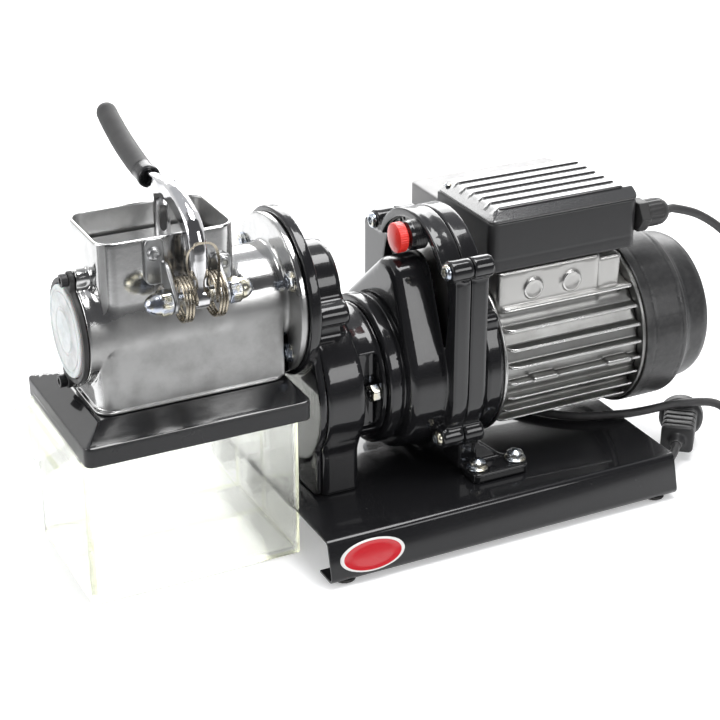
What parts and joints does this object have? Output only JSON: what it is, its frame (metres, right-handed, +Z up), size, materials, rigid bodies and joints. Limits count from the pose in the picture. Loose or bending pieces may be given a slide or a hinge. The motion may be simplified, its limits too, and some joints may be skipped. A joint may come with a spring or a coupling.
{
  "type": "electric grater",
  "caption": "Electric grater: a motor and gearbox on a folded base turn a grating roller under a hopper with a hinged presser, over a clear drawer.",
  "frame": {"origin": "on the table, below the middle of the machine's box without its cord", "axes": "+X from the grater to the motor's fan, -Y the side with the lever's pivot, +Z up"},
  "size_m": [0.6338, 0.3615, 0.3224],
  "materials": {
    "black_paint": "glossy black paint",
    "black_plastic": "satin black plastic",
    "rubber": "matte black rubber",
    "polished_aluminium": "polished",
    "cast_aluminium": "as cast, satin",
    "zinc_plate": "bright zinc plate",
    "steel": "machined",
    "spring_steel": "yellow passivated",
    "clear_acrylic": "clear",
    "frosted_plastic": "frosted",
    "red_plastic": "glossy red",
    "laminations": "bare stack"
  },
  "bodies": {
    "machine": {"base_channel": "black_paint", "gearbox_case": "black_paint", "gearbox_cover": "black_paint", "adapter_housing": "black_paint", "adapter_plate": "black_paint", "cap_screw_1": "black_paint", "cap_screw_2": "black_paint", "drawer_frame": "black_plastic", "end_cap_ring": "black_plastic", "button_collar": "black_plastic", "fan_cover": "black_plastic", "terminal_box": "black_plastic", "terminal_lid": "black_plastic", "cable_gland": "black_plastic", "plug": "black_plastic", "foot_pad_1": "rubber", "foot_pad_2": "rubber", "foot_pad_3": "rubber", "foot_pad_4": "rubber", "cord_lead": "rubber", "cord_coil": "rubber", "cord_tail": "rubber", "grater_casting": "polished_aluminium", "motor_frame": "cast_aluminium", "rear_end_shield": "cast_aluminium", "gearbox_screw_1": "zinc_plate", "gearbox_screw_2": "zinc_plate", "gearbox_screw_3": "zinc_plate", "gearbox_screw_4": "zinc_plate", "foot_bolt_1": "zinc_plate", "foot_bolt_2": "zinc_plate", "foot_bolt_3": "zinc_plate", "foot_bolt_4": "zinc_plate", "adapter_nut_1": "zinc_plate", "adapter_nut_2": "zinc_plate", "pivot_bracket_left": "zinc_plate", "pivot_bracket_right": "zinc_plate", "acorn_nut_1": "zinc_plate", "acorn_nut_2": "zinc_plate", "pivot_rod": "zinc_plate", "lid_screw_1": "zinc_plate", "lid_screw_2": "zinc_plate", "end_cap": "frosted_plastic", "capacitor": "frosted_plastic", "stator": "laminations"},
    "drawer": {"drawer_box": "clear_acrylic"},
    "lever": {"lever_arm": "polished_aluminium", "lever_grip": "rubber", "lever_spring": "spring_steel", "presser": "polished_aluminium"},
    "motor_rotor": {"rotor": "laminations", "motor_shaft": "steel", "cooling_fan": "black_plastic"},
    "idler": {"idler_gear": "steel"},
    "output": {"output_gear": "steel", "output_shaft": "steel", "adapter_gear": "steel"},
    "roller": {"grating_roller": "steel", "roller_shaft": "steel"},
    "button": {"start_button": "red_plastic"}
  },
  "joints": [
    {"name": "drawer_slide", "type": "slide", "parent": "machine", "child": "drawer", "axis": [-1, 0, 0], "range_m": [0, 0.16]},
    {"name": "lever_hinge", "type": "hinge", "parent": "machine", "child": "lever", "pos_m": [-0.16325, -0.056, 0.224], "axis": [1, 0, 0], "range_deg": [0, 100]},
    {"name": "rotor_spin", "type": "hinge", "parent": "machine", "child": "motor_rotor", "pos_m": [0.10775, 0, 0.113], "axis": [1, 0, 0], "continuous": true},
    {"name": "idler_spin", "type": "hinge", "parent": "machine", "child": "idler", "pos_m": [0.02775, -0.012, 0.17993], "axis": [1, 0, 0], "continuous": true},
    {"name": "output_spin", "type": "hinge", "parent": "machine", "child": "output", "pos_m": [-0.03225, 0, 0.113], "axis": [1, 0, 0], "continuous": true},
    {"name": "roller_spin", "type": "hinge", "parent": "machine", "child": "roller", "pos_m": [-0.15225, 0, 0.191], "axis": [1, 0, 0], "continuous": true},
    {"name": "button_press", "type": "slide", "parent": "machine", "child": "button", "axis": [1, 0, 0], "range_m": [0, 0.0025], "stiffness_N_per_m": 300, "springref_m": -0.002}
  ],
  "couplings": [
    {"joint": "idler_spin", "follows": "rotor_spin", "ratio": -0.30769},
    {"joint": "output_spin", "follows": "rotor_spin", "ratio": 0.094675},
    {"joint": "roller_spin", "follows": "rotor_spin", "ratio": -0.19492}
  ]
}
